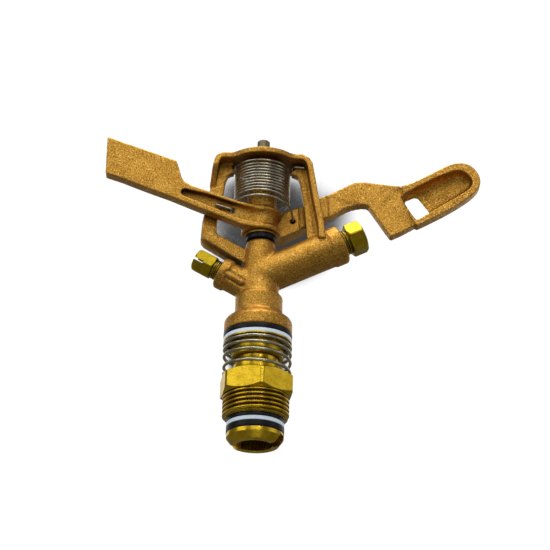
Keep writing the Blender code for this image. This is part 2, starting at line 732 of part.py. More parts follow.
def build_arm():
    arm = prism("arm", counterweight_outline(), LEFT_FRONT, LEFT_BACK)
    cut(arm, prism("channel", rounded(channel_outline(), 1), LEFT_FRONT - 3.0, CHANNEL_FLOOR))
    hub = [
        (0.0, HUB_BOTTOM),
        (HUB_R - 0.4, HUB_BOTTOM),
        (HUB_R, HUB_BOTTOM + 0.4),
        (HUB_R, HUB_BOTTOM + 1.7),
        (HUB_WAIST_R, HUB_BOTTOM + 2.7),
        (HUB_WAIST_R - 0.3, 75.2),
        (HUB_WAIST_R, HUB_TOP - 2.4),
        (HUB_R, HUB_TOP - 1.5),
        (HUB_R, HUB_TOP - 0.4),
        (HUB_R - 0.4, HUB_TOP),
        (SLEEVE_R + 0.3, HUB_TOP + 0.3),
        (SLEEVE_R, HUB_TOP + 0.9),
        (SLEEVE_R, SLEEVE_TOP - 0.4),
        (SLEEVE_R - 0.4, SLEEVE_TOP),
        (0.0, SLEEVE_TOP),
    ]
    add(arm, lathe("hub", hub, 32))
    right = prism("root", root_outline(), RIGHT_FRONT, ROOT_BACK)
    taper_root(right)
    add(right, prism("stop", stop_outline(), STOP_FRONT, RIGHT_FRONT + 1.0))
    blade = prism("blade", blade_outline(), RIGHT_FRONT + 0.1, RIGHT_FRONT + BLADE_THICK)
    add(right, bend_blade(blade))
    spoon_front = RIGHT_FRONT + SPOON_SHIFT - RIM_STEP
    spoon = prism("spoon", rounded(spoon_outline(), 1), spoon_front, spoon_front + SPOON_THICK)
    add(right, spoon)
    outline = rounded(cavity_outline(), 1)
    layers = []
    for depth, share in ((-2.0, 1.0), (0.0, 1.0), (2.2, 0.93), (3.6, 0.8), (4.6, 0.58), (5.0, 0.3)):
        layers.append([(x, spoon_front + depth, z) for x, z in shrink(outline, share)])
    cut(right, loft("scoop", layers))
    window = [(58.3, 89.5), (63.7, 91.9), (69.4, 84.3), (63.7, 80.6)]
    cut(right, prism("spoon_window", chamfered(window, 0.9), spoon_front - 3.0, spoon_front + 12.0))
    add(arm, right)
    bore = [(0.0, 60.0), (BUSH_R + GAP, 60.0), (BUSH_R + GAP, 100.0), (0.0, 100.0)]
    cut(arm, lathe("arm_bore", bore, 20))
    cut(arm, round_hole(ARM_HOLE_RIGHT, ARM_HOLE_R, -1.0, 16.0))
    cut(arm, round_hole(ARM_HOLE_LEFT, ARM_HOLE_R, -12.0, 1.0))
    return arm


def taper_root(item):
    """Thins the root of the blade from the hub outwards on its rear face."""
    for vertex in item.data.vertices:
        if vertex.co.y > 6.0:
            share = min(max((vertex.co.x - 9.0) / 17.0, 0.0), 1.0)
            vertex.co.y -= share * 3.1


def build_arm_spring():
    """Close-wound left-hand coil whose two ends are threaded through the frame and the arm."""
    hook = HOOK_Z + 0.1
    start = [
        (17.1, -2.75, 100.2),
        (14.6, -2.75, 100.3),
        (12.9, -2.5, hook),
        (HOOK_RIGHT_X, -1.2, hook),
        (HOOK_RIGHT_X, 1.4, hook),
        (11.9, 3.1, hook + 0.4),
        (9.6, 4.2, 100.95),
        (7.2, 5.4, 101.0),
    ]
    for turn in (55.0, 75.0, 95.0, 115.0, 135.0, 150.0):
        angle = math.radians(turn)
        start.append((8.65 * math.cos(angle), 8.65 * math.sin(angle), 101.0))
    start += [
        (-10.0, 3.3, 100.9),
        (-11.3, 2.1, hook + 0.1),
        (HOOK_LEFT_X, 0.5, hook),
        (HOOK_LEFT_X + 0.05, -1.6, hook),
        (-10.8, -3.3, 100.2),
    ]
    first = 212.0
    last = 360.0 * COIL_TURNS + 270.0
    coil = []
    steps = 14
    count = int((last - first) / 360.0 * steps)
    for step in range(count + 1):
        turn = first + step * 360.0 / steps
        wound = (turn - 270.0) / 360.0
        height = COIL_TOP - COIL_PITCH * wound - COIL_TOP_GAP * min(max(wound, 0.0), 1.0)
        angle = math.radians(turn)
        coil.append((COIL_R * math.cos(angle), COIL_R * math.sin(angle), height))
    floor = coil[-1][2]
    open_turn = []
    for turn in range(20, 371, 20):
        angle = math.radians(270.0 + turn)
        fall = min(turn / 90.0, 1.0)
        drop = 1.2 * fall * fall * (3.0 - 2.0 * fall) + COIL_PITCH * turn / 360.0
        open_turn.append((COIL_R * math.cos(angle), COIL_R * math.sin(angle), floor - drop))
    lowest = open_turn[-1]
    hole_x, hole_z = ARM_HOLE_RIGHT
    end = [
        (5.6, -9.4, lowest[2] - 0.3),
        (9.0, -6.2, lowest[2] - 0.8),
        (11.0, -3.2, lowest[2] - 1.4),
        (12.0, -1.0, hole_z + 2.4),
        (12.6, 0.5, hole_z + 1.1),
        (hole_x, 1.6, hole_z + 0.3),
        (hole_x, 2.6, hole_z),
        (hole_x, 5.0, hole_z),
        (hole_x, 11.4, hole_z),
        (hole_x - 0.5, 12.6, hole_z),
        (9.0, 13.0, hole_z),
        (0.0, 12.6, hole_z),
        (-7.5, 10.2, hole_z),
        (-10.9, 5.6, hole_z),
        (-11.7, 0.0, ARM_HOLE_LEFT[1]),
        (-11.7, -4.6, ARM_HOLE_LEFT[1]),
        (-12.1, -6.0, 78.8),
        (-13.2, -6.4, 79.1),
        (-18.7, -6.5, 80.7),
    ]
    path = smooth_path(start, 2)[:-1] + [Vector(p) for p in coil + open_turn]
    path += smooth_path(end, 2)
    return sweep("arm_spring", path, COIL_WIRE_R, 5)


def build_range_nozzle():
    corner = RANGE_HEX_FLATS / math.sqrt(3.0)
    low, high = RANGE_HEX
    head = hex_prism("head", RANGE_HEX_FLATS, low, high, RANGE_HEX_TURN, 0.9, corner - 0.05)
    hole = [
        (0.0, low - 1.0),
        (RANGE_ORIFICE_R + 0.2, low - 1.0),
        (RANGE_ORIFICE_R, high - 1.1),
        (RANGE_ORIFICE_R + 1.2, high + 0.1),
        (RANGE_ORIFICE_R + 1.2, high + 1.0),
        (0.0, high + 1.0),
    ]
    feed = [
        (0.0, low - 12.0),
        (2.9, low - 12.0),
        (RANGE_ORIFICE_R + 0.3, low + 2.0),
        (0.0, low + 2.0),
    ]
    solid = [
        (0.0, RANGE_COLLAR[1] - 8.0),
        (RANGE_NECK_R - 0.4, RANGE_COLLAR[1] - 8.0),
        (RANGE_NECK_R, RANGE_COLLAR[1] - 7.6),
        (RANGE_NECK_R, low + 1.0),
        (0.0, low + 1.0),
    ]
    nozzle = lathe("nozzle", solid, 28)
    add(nozzle, head)
    cut(nozzle, lathe("orifice", hole, 20))
    cut(nozzle, lathe("feed", feed, 20))
    return lay_along(nozzle, RANGE_START, RANGE_ANGLE, 1)


def build_spreader_nozzle():
    """Hexagonal nozzle on a round threaded neck, with a screwdriver slot across its mouth."""
    corner = SPREAD_HEX_FLATS / math.sqrt(3.0)
    low, high = SPREAD_HEX
    head = hex_prism("head", SPREAD_HEX_FLATS, low, high, SPREAD_HEX_TURN, 1.1, corner - 0.1)
    inner = SPREAD_COLLAR[1] - 6.6
    neck = [(0.0, inner), (SPREAD_NECK_R, inner), (SPREAD_NECK_R, low + 1.0), (0.0, low + 1.0)]
    nozzle = lathe("spreader", neck, 28)
    add(nozzle, head)
    bore = [
        (0.0, inner - 1.0),
        (SPREAD_BORE_R, inner - 1.0),
        (SPREAD_BORE_R, high - 0.6),
        (SPREAD_BORE_R + 0.7, high + 0.1),
        (SPREAD_BORE_R + 0.7, high + 1.0),
        (0.0, high + 1.0),
    ]
    cut(nozzle, lathe("spreader_bore", bore, 20))
    half = SPREAD_SLOT_WIDTH / 2.0
    corners = [(-9.0, -half), (9.0, -half), (9.0, half), (-9.0, half)]
    slot = prism("slot", corners, SPREAD_SLOT_START, high + 2.0, axis="Z")
    slot.data.transform(Matrix.Rotation(math.radians(SPREAD_HEX_TURN), 4, "Z"))
    cut(nozzle, slot)
    return lay_along(nozzle, SPREAD_START, SPREAD_ANGLE, -1)


def build_pin():
    profile = [
        (0.0, PIN_BOTTOM),
        (PIN_R - 0.4, PIN_BOTTOM),
        (PIN_R, PIN_BOTTOM + 0.4),
        (PIN_R, PIN_TOP - 0.5),
        (PIN_R - 0.5, PIN_TOP),
        (0.0, PIN_TOP),
    ]
    return lathe("pin", profile, 20)


def joint_empty(name, parent=None):
    empty = bpy.data.objects.new(name, None)
    empty.empty_display_size = 0.02
    bpy.context.scene.collection.objects.link(empty)
    empty.parent = parent
    return empty


def main():
    clear_scene()
    float_axis = joint_empty("bearing_float")
    swivel_axis = joint_empty("head_swivel", float_axis)
    arm_axis = joint_empty("arm_swing", swivel_axis)

    finish(build_nipple(), "inlet_nipple", NIPPLE_BRASS)
    finish(build_bearing_spring(), "bearing_spring", SPRING_STEEL, sharp=80.0)

    inside = TUBE_R + GAP
    finish(build_thrust_washer(), "thrust_washer", BEARING_BRASS, float_axis)
    washer = ring("washer", inside, THRUST_R, *UPPER_PTFE)
    finish(washer, "upper_ptfe_washer", WHITE_PTFE, float_axis)
    washer = ring("washer", inside, THRUST_R + 0.1, *UPPER_RUBBER, 0.3)
    finish(washer, "upper_rubber_washer", BLACK_RUBBER, float_axis)

    finish(build_body(), "body", BRONZE, swivel_axis)
    finish(build_bearing_tube(), "bearing_tube", BEARING_BRASS, swivel_axis)
    names = ("lower_rubber_washer_top", "lower_ptfe_washer", "lower_rubber_washer_bottom")
    looks = (BLACK_RUBBER, WHITE_PTFE, BLACK_RUBBER)
    for name, look, (top, bottom) in zip(names, looks, LOWER_WASHERS):
        washer = ring("washer", inside, LOWER_WASHER_R, bottom, top, 0.25)
        finish(washer, name, look, swivel_axis)
    finish(build_range_nozzle(), "range_nozzle", NOZZLE_BRASS, swivel_axis)
    finish(build_spreader_nozzle(), "spreader_nozzle", NOZZLE_BRASS, swivel_axis)

    inside = PIN_R + GAP
    finish(build_pin(), "pivot_pin", PIN_STEEL, swivel_axis)
    washer = ring("washer", inside, 6.0, NECK_TOP + GAP, HUB_WASHER_TOP, 0.3, 24)
    finish(washer, "hub_washer_rubber", BLACK_RUBBER, swivel_axis)
    washer = ring("washer", inside, 6.6, HUB_WASHER_TOP + GAP, HUB_BOTTOM - GAP, 0.15, 24)
    finish(washer, "hub_washer_brass", BEARING_BRASS, swivel_axis)
    washer = ring("washer", inside, 5.6, SLEEVE_TOP + GAP, BOSS_BOTTOM - GAP, 0.2, 24)
    finish(washer, "top_washer", BLACK_RUBBER, swivel_axis)
    finish(build_arm_spring(), "arm_spring", SPRING_STEEL, swivel_axis, sharp=80.0)

    finish(build_arm(), "drive_arm", BRONZE, arm_axis)
    low = HUB_BOTTOM + 0.1
    bush = ring("bush", inside, BUSH_R, low, low + BUSH_LENGTH, segments=20)
    finish(bush, "arm_bush_lower", BEARING_BRASS, arm_axis)
    high = SLEEVE_TOP - 0.1
    bush = ring("bush", inside, BUSH_R, high - BUSH_LENGTH, high, segments=20)
    finish(bush, "arm_bush_upper", BEARING_BRASS, arm_axis)


main()
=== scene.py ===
"""Looks for a two-nozzle impact sprinkler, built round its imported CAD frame.

Lengths are in millimetres and are scaled to metres as meshes are made. The castings
start from the CAD solids: their creases are filled, their edges rounded and their skin
roughened. Turned, coiled and moulded pieces are made again in finer detail.
"""

import json
import math

import bmesh
import bpy
import numpy as np
from mathutils import Matrix, Vector, noise

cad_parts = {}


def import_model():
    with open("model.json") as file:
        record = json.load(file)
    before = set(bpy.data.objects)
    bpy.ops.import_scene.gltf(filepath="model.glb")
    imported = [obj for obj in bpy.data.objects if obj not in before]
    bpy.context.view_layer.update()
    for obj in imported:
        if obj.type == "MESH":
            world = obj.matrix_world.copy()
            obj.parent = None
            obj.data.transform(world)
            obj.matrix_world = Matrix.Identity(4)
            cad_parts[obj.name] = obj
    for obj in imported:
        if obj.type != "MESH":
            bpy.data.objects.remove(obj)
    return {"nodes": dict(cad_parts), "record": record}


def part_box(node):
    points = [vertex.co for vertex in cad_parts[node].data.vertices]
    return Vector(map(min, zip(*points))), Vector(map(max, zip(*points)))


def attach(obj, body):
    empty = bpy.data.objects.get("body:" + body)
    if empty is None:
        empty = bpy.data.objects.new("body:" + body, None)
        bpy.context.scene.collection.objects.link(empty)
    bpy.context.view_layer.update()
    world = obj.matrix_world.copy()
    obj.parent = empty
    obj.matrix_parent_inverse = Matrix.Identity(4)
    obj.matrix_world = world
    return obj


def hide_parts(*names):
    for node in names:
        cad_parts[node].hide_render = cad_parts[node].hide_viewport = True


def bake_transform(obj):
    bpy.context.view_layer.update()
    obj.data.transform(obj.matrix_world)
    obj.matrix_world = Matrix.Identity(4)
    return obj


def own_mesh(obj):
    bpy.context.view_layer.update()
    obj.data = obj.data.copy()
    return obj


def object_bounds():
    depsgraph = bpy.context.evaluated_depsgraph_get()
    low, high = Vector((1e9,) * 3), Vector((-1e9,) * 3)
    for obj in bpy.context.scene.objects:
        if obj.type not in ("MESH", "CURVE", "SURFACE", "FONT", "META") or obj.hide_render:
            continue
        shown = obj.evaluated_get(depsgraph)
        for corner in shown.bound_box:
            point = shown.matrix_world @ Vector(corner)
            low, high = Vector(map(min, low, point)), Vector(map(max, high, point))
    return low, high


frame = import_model()
CAD_LOW, CAD_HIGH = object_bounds()

MM = 0.001
BODIES = frame["record"]["behaviour"]["bodies"]
BODY_OF = {node: body for body, nodes in BODIES.items() for node in nodes}

# Castings: size of the skin's grid, and the grains of its surface as (size, height).
CAST_GRID = 0.30
CAST_GRAINS = ((5.5, 0.05), (1.5, 0.03), (0.75, 0.028))
PIT_SIZE = 1.3
PIT_SHARE = 0.55
PIT_DEPTH = 0.16

# Turned pieces: number of sides, and the size of their broken edges.
SIDES = 160
EDGE = 0.12

# Inlet: a G 3/4 thread under a hexagon with turned-down corners.
THREAD_R = 13.22
THREAD_PITCH = 1.814
THREAD_DEPTH = 1.16
HEX_FLATS = 27.0
HEX_CORNER_R = 15.2
HEX_HEIGHT = 9.0
HEX_TURN = -81.3
SLEEVE_R = 9.4

# Tube that turns in the inlet.
TUBE_R = 8.6
TUBE_BORE_R = 7.0
FLANGE_TOP = -15.4
TUBE_SLOT_WIDTH = 5.0
TUBE_SLOT_DEPTH = 3.9
TUBE_SLOT_TURN = -18.0

# Nozzles: where each tube starts on the pivot axis, its rise and its side.
RANGE_TUBE = (51.4, 25.8, 1)
SPREAD_TUBE = (44.9, 28.5, -1)
RANGE_HEX = (12.2, 39.4, 46.0, 30.0)
RANGE_COLLAR_TOP = 36.8
SPREAD_HEX = (8.8, 21.1, 29.6, -106.0)
SPREAD_COLLAR_TOP = 18.15
SPREAD_SLOT = (25.3, 1.0)

# Short ribs of the frame: where they lie, the level where they end and how gently they do.
RIB_LOWEST = 88.0
RIB_INNER_X = 15.0
RIB_FOOT_Y = 2.0
RIB_END = 90.2
RIB_FADE = 9.0

# Plain bar on the front of the spreader's tube, with its ends as (x, z).
BAR_ENDS = ((-7.2, 46.9), (-12.3, 50.1))
BAR_HALF_WIDTH = 0.95
BAR_HEIGHT = 0.5
BAR_BACK_Y = -3.0

# Feet of the steps on the blade, as (x, z) lines, and the fine grooves along them.
STEP_LINES = (
    ((56.3, 95.6), (62.0, 76.0)),
    ((26.9, 90.8), (27.6, 80.4)),
    ((15.2, 84.6), (15.7, 75.0)),
)
STEP_GROOVE_DEPTH = 0.45
STEP_GROOVE_HALF = 0.6

# Coil under the head and its levels as (turns, height), and coil of the arm.
BEARING_WIRE_R = 0.64
BEARING_COIL_LEVELS = ((1.0, 19.0), (2.0, 15.9), (3.0, 11.2), (3.4, 10.15))
ARM_WIRE_R = 0.45
ARM_COIL_R = 11.0
ARM_COIL_PITCH = 1.3
ARM_COIL_TURNS = 10
ARM_COIL_TOP = 99.35
ARM_COIL_GAP = 0.4


def extent(node):
    """Lowest and highest corner of a CAD node, in millimetres."""
    low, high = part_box(node)
    return low / MM, high / MM


# Meshes


def new_object(name, mesh):
    item = bpy.data.objects.new(name, mesh)
    bpy.context.scene.collection.objects.link(item)
    return item


def skin(name, loops, ring):
    """Joins equal loops of points; a ring closes on itself, otherwise both ends are capped."""
    points = np.array(loops, float)
    count, size = points.shape[:2]
    faces = []
    for row in range(count if ring else count - 1):
        below = row * size
        above = (row + 1) % count * size
        for step in range(size):
            after = (step + 1) % size
            faces.append((below + step, below + after, above + after, above + step))
    if not ring:
        faces.append(tuple(range(size)))
        faces.append(tuple(range((count - 1) * size, count * size)))
    mesh = bpy.data.meshes.new(name)
    mesh.from_pydata((points.reshape(-1, 3) * MM).tolist(), [], faces)
    bm = bmesh.new()
    bm.from_mesh(mesh)
    bmesh.ops.remove_doubles(bm, verts=bm.verts, dist=2e-6)
    bmesh.ops.dissolve_degenerate(bm, edges=bm.edges, dist=1e-6)
    bmesh.ops.recalc_face_normals(bm, faces=bm.faces)
    bm.to_mesh(mesh)
    bm.free()
    return new_object(name, mesh)


def softened(outline, size=EDGE):
    """Breaks each corner of a closed outline, with a point on either side that keeps its flats flat."""
    soft = []
    count = len(outline)
    for index in range(count):
        corner = np.array(outline[index], float)
        before = np.array(outline[index - 1], float) - corner
        after = np.array(outline[(index + 1) % count], float) - corner
        back = np.linalg.norm(before)
        forth = np.linalg.norm(after)
        before /= back
        after /= forth
        near_back = min(size, 0.2 * back)
        near_forth = min(size, 0.2 * forth)
        start = corner + before * near_back
        end = corner + after * near_forth
        soft.append(corner + before * min(3.0 * size, 0.45 * back))
        soft.append(start)
        for share in (0.33, 0.67):
            soft.append(start * (1 - share) ** 2 + corner * 2 * share * (1 - share) + end * share**2)
        soft.append(end)
        soft.append(corner + after * min(3.0 * size, 0.45 * forth))
    return soft


def even_turns(sides=SIDES):
    return [2.0 * math.pi * step / sides for step in range(sides)]


def turned(name, outline, turns=None):
    """Ring turned about Z. The outline is (radius, height) points, or a function of the turn."""
    loops = []
    for turn in turns or even_turns():
        column = outline(turn) if callable(outline) else outline
        loops.append([(r * math.cos(turn), r * math.sin(turn), z) for r, z in column])
    return skin(name, loops, ring=True)


def hex_turns(flats, corner, turn):
    """Turns that suit a hexagon: its edges lie on them, each with a close neighbour."""
    half = math.degrees(math.acos(0.5 * flats / corner))
    steps = [-half, -half + 0.6, *np.linspace(-half + 3.0, half - 3.0, 15), half - 0.6, half]
    steps += [0.5 * (30.0 + half), 30.0, 60.0 - 0.5 * (30.0 + half)]
    turns = []
    for side in range(6):
        centre = turn + 30.0 + 60.0 * side
        turns += [math.radians(centre + step) for step in steps]
    return turns


def hex_radius(turn, flats, corner, start):
    """Distance from the axis to a hexagon's side, with corners turned down to a circle."""
    from_corner = (math.degrees(turn) - start) % 60.0
    return min(0.5 * flats / math.cos(math.radians(from_corner - 30.0)), corner)


def thread_radius(turn, height, radius, depth, pitch):
    """Right-hand thread with rounded crests and roots."""
    from_crest = abs((height / pitch - turn / (2.0 * math.pi)) % 1.0 - 0.5)
    from_crest = 0.5 - from_crest
    share = min(max((from_crest - 0.09) / 0.38, 0.0), 1.0)
    return radius - depth * share * share * (3.0 - 2.0 * share)


def smooth_path(points, steps):
    """Catmull-Rom curve through an open list of points."""
    padded = [points[0]] + list(points) + [points[-1]]
    path = []
    for index in range(1, len(padded) - 2):
        before, start, end, beyond = (np.array(p, float) for p in padded[index - 1 : index + 3])
        for step in range(steps):
            t = step / steps
            curve = 2.0 * start + (end - before) * t
            curve += (2.0 * before - 5.0 * start + 4.0 * end - beyond) * t * t
            curve += (3.0 * start - before - 3.0 * end + beyond) * t * t * t
            path.append(0.5 * curve)
    path.append(np.array(points[-1], float))
    return path


def wire(name, path, radius, sides=14):
    """Round wire along a path, with its ends rounded over."""
    path = [Vector(point) for point in path]
    tangents = []
    for index in range(len(path)):
        before = path[max(index - 1, 0)]
        after = path[min(index + 1, len(path) - 1)]
        tangents.append((after - before).normalized())
    normal = tangents[0].orthogonal().normalized()
    loops = []
    last = len(path) - 1
    for index, point in enumerate(path):
        tangent = tangents[index]
        normal = (normal - tangent * normal.dot(tangent)).normalized()
        side = tangent.cross(normal)
        sizes = [(radius, 0.0)]
        if index == 0:
            sizes = [(0.55 * radius, -0.35 * radius), (0.9 * radius, -0.2 * radius), (radius, 0.0)]
        if index == last:
            sizes = [(radius, 0.0), (0.9 * radius, 0.2 * radius), (0.55 * radius, 0.35 * radius)]
        for size, shift in sizes:
            loop = []
            for step in range(sides):
                turn = 2.0 * math.pi * step / sides
                offset = normal * math.cos(turn) + side * math.sin(turn)
                loop.append(point + tangent * shift + size * offset)
            loops.append(loop)
    return skin(name, loops, ring=False)


def evaluated(item):
    """Applies an object's modifiers."""
    bpy.context.view_layer.update()
    graph = bpy.context.evaluated_depsgraph_get()
    mesh = bpy.data.meshes.new_from_object(item.evaluated_get(graph))
    item.modifiers.clear()
    item.data = mesh
    return item


def cut(item, tool):
    modifier = item.modifiers.new("cut", "BOOLEAN")
    modifier.operation = "DIFFERENCE"
    modifier.solver = "EXACT"
    modifier.object = tool
    evaluated(item)
    bpy.data.objects.remove(tool, do_unlink=True)
    return item


def block(name, low, high):
    """Cutter between two corners, in millimetres."""
    left, front, bottom = low
    right, back, top = high
    loops = []
    for z in (bottom, top):
        loops.append([(left, front, z), (right, front, z), (right, back, z), (left, back, z)])
    return skin(name, loops, ring=False)


def lay_along(item, tube):
    """Lays a piece made about +Z along the axis of a nozzle's tube."""
    height, rise, side = tube
    turn = Matrix.Rotation(side * math.radians(90.0 - rise), 4, "Y")
    item.matrix_world = Matrix.Translation((0.0, 0.0, height * MM)) @ turn
    return item


def stand_in(item, node, material, sharp=50.0):
    """Finishes a piece that takes a CAD node's place: its material and shading, with the node hidden."""
    item.data.materials.clear()
    item.data.materials.append(material)
    item.data.shade_smooth()
    item.data.set_sharp_from_angle(angle=math.radians(sharp))
    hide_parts(node)
    return item


def on_body(item, node, material, sharp=50.0):
    stand_in(item, node, material, sharp)
    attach(item, BODY_OF[node])
    return item


# Castings


def vectors(collection, key, count):
    values = np.zeros(count * 3, np.float32)
    collection.foreach_get(key, values)
    return values.reshape(-1, 3).astype(float)


class Skin:
    """Points, normals and neighbours of a dense mesh, in millimetres."""

    def __init__(self, mesh):
        self.mesh = mesh
        self.count = len(mesh.vertices)
        self.points = vectors(mesh.vertices, "co", self.count) / MM
        ends = np.zeros(len(mesh.edges) * 2, np.int32)
        mesh.edges.foreach_get("vertices", ends)
        self.ends = ends.reshape(-1, 2)
        self.degree = np.bincount(self.ends.ravel(), minlength=self.count).clip(1)
        self.refresh()

    def refresh(self):
        self.mesh.vertices.foreach_set("co", (self.points * MM).astype(np.float32).ravel())
        self.mesh.update()
        self.normals = vectors(self.mesh.vertex_normals, "vector", self.count)

    def pull(self):
        """Way from each point to the middle of its neighbours."""
        first, second = self.ends.T
        total = np.zeros_like(self.points)
        for axis in range(3):
            values = self.points[:, axis]
            total[:, axis] = np.bincount(first, values[second], self.count)
            total[:, axis] += np.bincount(second, values[first], self.count)
        return total / self.degree[:, None] - self.points

    def fill_creases(self, weight, rounds):
        """Raises only hollow places, as the fillets of a pattern do."""
        for turn in range(rounds):
            if turn % 10 == 0:
                self.refresh()
            out = (self.pull() * self.normals).sum(axis=1).clip(0.0)
            self.points += self.normals * (weight * out)[:, None]
        self.refresh()

    def round_edges(self, weight, rounds):
        for _ in range(rounds):
            self.points += weight * self.pull()
        self.refresh()

    def near(self, spots):
        """1 at the middle of the nearest spot, falling to 0 at its edge."""
        share = np.zeros(self.count)
        for centre, radius in spots:
            away = np.linalg.norm(self.points - np.array(centre), axis=1)
            share = np.maximum(share, (1.6 * (1.0 - away / radius)).clip(0.0, 1.0))
        return share

    def away_from_line(self, start, end):
        """Distance of each point from a line between two (x, z) points, seen from the front."""
        line = np.array(end) - np.array(start)
        flat = self.points[:, (0, 2)] - np.array(start)
        along = (flat @ line / (line @ line)).clip(0.0, 1.0)
        return np.linalg.norm(flat - along[:, None] * line, axis=1)

    def roughen(self, seed):
        height = np.zeros(self.count)
        offset = Vector((seed, 2.7 * seed, 0.0))
        for size, rise in CAST_GRAINS:
            scale = 1.0 / size
            height += rise * np.array([noise.noise(Vector(p) * scale + offset) for p in self.points])
        pits = np.array([noise.noise(Vector(p) / PIT_SIZE - offset) for p in self.points])
        height -= PIT_DEPTH * (pits - PIT_SHARE).clip(0.0) / (1.0 - PIT_SHARE)
        self.points += self.normals * height[:, None]
        self.refresh()


def casting(node, name, seed, soft_spots, crisp_spots=(), shape=None):
    """Casting grown from its CAD node; creases near the soft spots get large fillets."""
    bm = bmesh.new()
    bm.from_mesh(frame["nodes"][node].data)
    bmesh.ops.remove_doubles(bm, verts=bm.verts, dist=1e-6)
    mesh = bpy.data.meshes.new(name)
    bm.to_mesh(mesh)
    bm.free()
    item = new_object(name, mesh)
    remesh = item.modifiers.new("grid", "REMESH")
    remesh.mode = "VOXEL"
    remesh.voxel_size = CAST_GRID * MM * 1.0
    evaluated(item)
    surface = Skin(item.data)
    keep = 1.0 - surface.near(crisp_spots)
    surface.fill_creases(0.5 * keep, 10)
    surface.fill_creases(0.5 * surface.near(soft_spots), 70)
    if shape:
        shape(surface)
    surface.round_edges(0.5, 2)
    surface.roughen(seed)
    return item


# Materials


def new_material(name):
    material = bpy.data.materials.new(name)
    material.use_nodes = True
    return material, material.node_tree, material.node_tree.nodes["Principled BSDF"]


def put(tree, kind, sockets=(), **settings):
    """Adds a shader node; a socket's value is a constant or another node's output."""
    node = tree.nodes.new("ShaderNode" + kind)
    for key, value in settings.items():
        setattr(node, key, value)
    for key, value in dict(sockets).items():
        if isinstance(value, bpy.types.NodeSocket):
            tree.links.new(value, node.inputs[key])
        else:
            node.inputs[key].default_value = value
    return node


def place(tree, stretch=(1.0, 1.0, 1.0)):
    """Place on the piece in millimetres, stretched along its own axes."""
    where = put(tree, "TexCoord").outputs["Object"]
    scale = [value / MM for value in stretch]
    return put(tree, "VectorMath", {0: where, 1: scale}, operation="MULTIPLY").outputs[0]


def grain(tree, where, size, detail=3.0, rough=0.6):
    sockets = {"Vector": where, "Scale": 1.0 / size, "Detail": detail, "Roughness": rough}
    return put(tree, "TexNoise", sockets).outputs["Fac"]


def fade(tree, value, low, high, start=0.0, end=1.0):
    """Maps a range of a value onto another range, smoothly at both ends."""
    sockets = {"Value": value, "From Min": low, "From Max": high, "To Min": start, "To Max": end}
    return put(tree, "MapRange", sockets, interpolation_type="SMOOTHSTEP").outputs["Result"]


def blend_colours(tree, share, first, second):
    """Mixes two colours; each is three numbers or another node's output."""
    sockets = {0: share}
    for key, colour in ((6, first), (7, second)):
        sockets[key] = colour if isinstance(colour, bpy.types.NodeSocket) else (*colour, 1.0)
    return put(tree, "Mix", sockets, data_type="RGBA", blend_type="MIX").outputs[2]


def maths(tree, operation, first, second):
    return put(tree, "Math", {0: first, 1: second}, operation=operation).outputs[0]


def bumped(tree, height, distance, strength=1.0, under=None):
    sockets = {"Height": height, "Distance": distance * MM, "Strength": strength}
    if under is not None:
        sockets["Normal"] = under
    return put(tree, "Bump", sockets).outputs["Normal"]


def crevices(tree, distance, alone=True):
    """0 deep in a groove or corner and 1 in the open; neighbouring pieces count unless alone."""
    sockets = {"Distance": distance * MM}
    return put(tree, "AmbientOcclusion", sockets, samples=8, only_local=alone).outputs["AO"]


def connect(tree, shader, **sockets):
    """Links outputs to the shader's sockets, or sets their constants."""
    for key, value in sockets.items():
        key = key.replace("_", " ")
        if isinstance(value, bpy.types.NodeSocket):
            tree.links.new(value, shader.inputs[key])
        else:
            shader.inputs[key].default_value = value


def cast_bronze(name, seed):
    """Sand-cast bronze: speckled grain, dark pits and hollows, painted shade in corners, near other
    pieces and in narrow grooves, edges rubbed bright.
    """
    material, tree, shader = new_material(name)
    where = place(tree)
    shifted = put(tree, "VectorMath", {0: where, 1: (seed, 0.0, seed)}, operation="ADD").outputs[0]
    clouds = grain(tree, shifted, 7.0, 4.0, 0.6)
    speckle = grain(tree, shifted, 0.62, 4.0, 0.75)
    fine = grain(tree, shifted, 0.24, 2.0, 0.7)
    sparkle = grain(tree, shifted, 0.45, 1.0, 0.5)
    colour = blend_colours(tree, fade(tree, clouds, 0.35, 0.65), BRONZE_DARK, BRONZE_LIGHT)
    colour = blend_colours(tree, fade(tree, speckle, 0.50, 0.36, 0.0, 0.8), colour, BRONZE_PIT)
    colour = blend_colours(tree, fade(tree, sparkle, 0.54, 0.68, 0.0, 0.8), colour, BRONZE_FLECK)
    edge = put(tree, "NewGeometry").outputs["Pointiness"]
    colour = blend_colours(tree, fade(tree, edge, 0.51, 0.60, 0.0, 0.75), colour, BRONZE_RUBBED)
    colour = blend_colours(tree, fade(tree, edge, 0.49, 0.40, 0.0, 0.6), colour, BRONZE_HOLLOW)
    # Painted shade: occlusion darkens the bronze in corners and near other pieces within 6 mm, and in
    # narrow grooves and at the feet of steps within 1.2 mm.
    shade = fade(tree, crevices(tree, 6.0, False), 0.8, 0.3, 0.0, 0.85)
    colour = blend_colours(tree, shade, colour, BRONZE_SHADE)
    groove_shade = fade(tree, crevices(tree, 1.2), 0.85, 0.45, 0.0, 0.8)
    colour = blend_colours(tree, groove_shade, colour, BRONZE_GROOVE_SHADE)
    rough = fade(tree, speckle, 0.35, 0.65, 0.50, 0.32)
    rough = maths(tree, "ADD", rough, fade(tree, edge, 0.5, 0.62, 0.0, -0.08))
    normal = bumped(tree, speckle, 0.22, 0.8)
    normal = bumped(tree, fine, 0.07, 0.5, normal)
    connect(tree, shader, Base_Color=colour, Roughness=rough, Normal=normal, Metallic=0.96)
    return material


